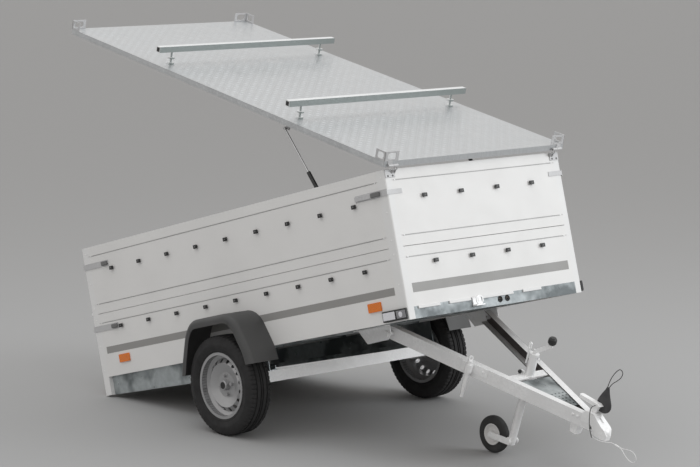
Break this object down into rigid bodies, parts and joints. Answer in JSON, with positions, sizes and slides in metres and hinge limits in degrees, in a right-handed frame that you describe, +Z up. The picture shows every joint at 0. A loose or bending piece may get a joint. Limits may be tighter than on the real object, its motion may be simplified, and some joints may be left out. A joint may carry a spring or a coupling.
{
  "type": "box trailer",
  "caption": "Light tipping box trailer with raised grey sides, a hinged tread plate lid with roof bars, and a folding V drawbar resting on its jockey wheel",
  "frame": {"origin": "middle of the outline, on the floor, without the cords", "axes": "x forward to the coupling, y to the trailer's left, z up"},
  "size_m": [3.731, 1.624, 2.1648],
  "materials": {
    "side_panel": "satin light grey",
    "white_post": "satin white",
    "galvanised": "hot-dip zinc, dull",
    "floor_board": "film-faced plywood",
    "tread_plate": "five-bar tread pattern",
    "fender_plastic": "moulded, grained",
    "black_plastic": "moulded",
    "black_rubber": "matt",
    "tyre_rubber": "matt",
    "wheel_silver": "silver paint",
    "amber_lens": "moulded lens",
    "red_lens": "moulded lens",
    "clear_lens": "moulded lens",
    "strut_black": "gloss black",
    "bright_steel": "polished"
  },
  "bodies": {
    "box": {"floor_panel": "floor_board", "chassis_frame": "galvanised", "skirt_rails": "galvanised", "corner_posts": "white_post", "side_lower_left": "side_panel", "side_lower_right": "side_panel", "side_upper_left": "side_panel", "side_upper_right": "side_panel", "front_lower": "side_panel", "front_upper": "side_panel", "cover_knobs": "black_plastic", "side_reflectors": "amber_lens", "marker_lamps": "black_plastic", "marker_lenses": "clear_lens", "rear_lamps": "red_lens", "corner_latches": "galvanised", "latch_grips": "black_plastic", "fender_left": "fender_plastic", "fender_right": "fender_plastic", "axle_beam": "galvanised", "tilt_brackets": "galvanised", "tilt_lock": "galvanised", "gate_hinges": "galvanised", "lid_hinges": "galvanised", "strut_mounts": "galvanised"},
    "gate_lower_body": {"gate_lower": "side_panel"},
    "gate_upper_body": {"gate_upper": "side_panel"},
    "wheel_left": {"tyre_left": "tyre_rubber", "rim_left": "wheel_silver", "hub_left": "wheel_silver"},
    "wheel_right": {"tyre_right": "tyre_rubber", "rim_right": "wheel_silver", "hub_right": "wheel_silver"},
    "lid": {"lid_panel": "tread_plate", "lid_fittings": "galvanised", "roof_bars": "galvanised"},
    "strut_left": {"strut_cylinder_left": "strut_black"},
    "strut_right": {"strut_cylinder_right": "strut_black"},
    "rod_left": {"strut_rod_left": "bright_steel"},
    "rod_right": {"strut_rod_right": "bright_steel"},
    "drawbar": {"beam_left": "galvanised", "beam_right": "galvanised", "drawbar_plate": "galvanised", "coupling": "galvanised", "coupling_handle": "galvanised", "leg_clamps": "galvanised", "jockey_tube": "galvanised", "jockey_crank": "galvanised", "crank_knob": "black_plastic", "lock_cord": "black_rubber", "plug_pouch": "black_rubber", "breakaway_cable": "bright_steel"},
    "jockey_stem": {"jockey_inner": "galvanised"},
    "jockey_swivel": {"jockey_fork": "galvanised"},
    "jockey_wheel": {"jockey_tyre": "black_rubber", "jockey_rim": "wheel_silver"},
    "prop": {"prop_leg": "galvanised"}
  },
  "joints": [
    {"name": "wheel_left_turn", "type": "hinge", "parent": "box", "child": "wheel_left", "pos_m": [-0.26948, 0.722, 0.268], "axis": [0, 1, 0], "continuous": true},
    {"name": "wheel_right_turn", "type": "hinge", "parent": "box", "child": "wheel_right", "pos_m": [-0.26948, -0.722, 0.268], "axis": [0, 1, 0], "continuous": true},
    {"name": "gate_lower_hinge", "type": "hinge", "parent": "box", "child": "gate_lower_body", "pos_m": [-1.56604, 0, 0.10437], "axis": [0, -1, 0], "range_deg": [0, 175]},
    {"name": "gate_upper_hinge", "type": "hinge", "parent": "box", "child": "gate_upper_body", "pos_m": [-1.65741, 0, 0.45568], "axis": [0, -1, 0], "range_deg": [0, 170]},
    {"name": "lid_hinge", "type": "hinge", "parent": "box", "child": "lid", "pos_m": [0.85866, 0, 1.51616], "axis": [0, -1, 0], "range_deg": [0, 26.54]},
    {"name": "tilt_hinge", "type": "hinge", "parent": "box", "child": "drawbar", "pos_m": [0.60138, 0, 0.61436], "axis": [0, -1, 0], "range_deg": [0, 32.8]},
    {"name": "jockey_lift", "type": "slide", "parent": "drawbar", "child": "jockey_stem", "axis": [0.3127, 0, 0.9499], "range_m": [-0.03, 0.15]},
    {"name": "jockey_swivel_turn", "type": "hinge", "parent": "jockey_stem", "child": "jockey_swivel", "pos_m": [1.12039, 0, 0.09622], "axis": [0.3127, 0, 0.9499], "continuous": true},
    {"name": "jockey_wheel_turn", "type": "hinge", "parent": "jockey_swivel", "child": "jockey_wheel", "pos_m": [0.9901, 0, 0.097], "axis": [0, 1, 0], "continuous": true},
    {"name": "prop_lift", "type": "slide", "parent": "drawbar", "child": "prop", "axis": [0.3127, 0, 0.9499], "range_m": [0, 0.1]},
    {"name": "strut_left_pivot", "type": "hinge", "parent": "box", "child": "strut_left", "pos_m": [0.46646, 0.578, 1.1331], "axis": [0, -1, 0], "range_deg": [0, 32.33]},
    {"name": "strut_left_stroke", "type": "slide", "parent": "strut_left", "child": "rod_left", "axis": [0.6555, 0, -0.7552], "range_m": [0, 0.24585]},
    {"name": "strut_right_pivot", "type": "hinge", "parent": "box", "child": "strut_right", "pos_m": [0.46646, -0.578, 1.1331], "axis": [0, -1, 0], "range_deg": [0, 32.33]},
    {"name": "strut_right_stroke", "type": "slide", "parent": "strut_right", "child": "rod_right", "axis": [0.6555, 0, -0.7552], "range_m": [0, 0.24585]}
  ],
  "couplings": [
    {"joint": "strut_left_pivot", "follows": "lid_hinge", "ratio": 1.2179},
    {"joint": "strut_left_stroke", "follows": "lid_hinge", "m_per_rad": 0.53054},
    {"joint": "strut_right_pivot", "follows": "lid_hinge", "ratio": 1.2179},
    {"joint": "strut_right_stroke", "follows": "lid_hinge", "m_per_rad": 0.53054}
  ]
}
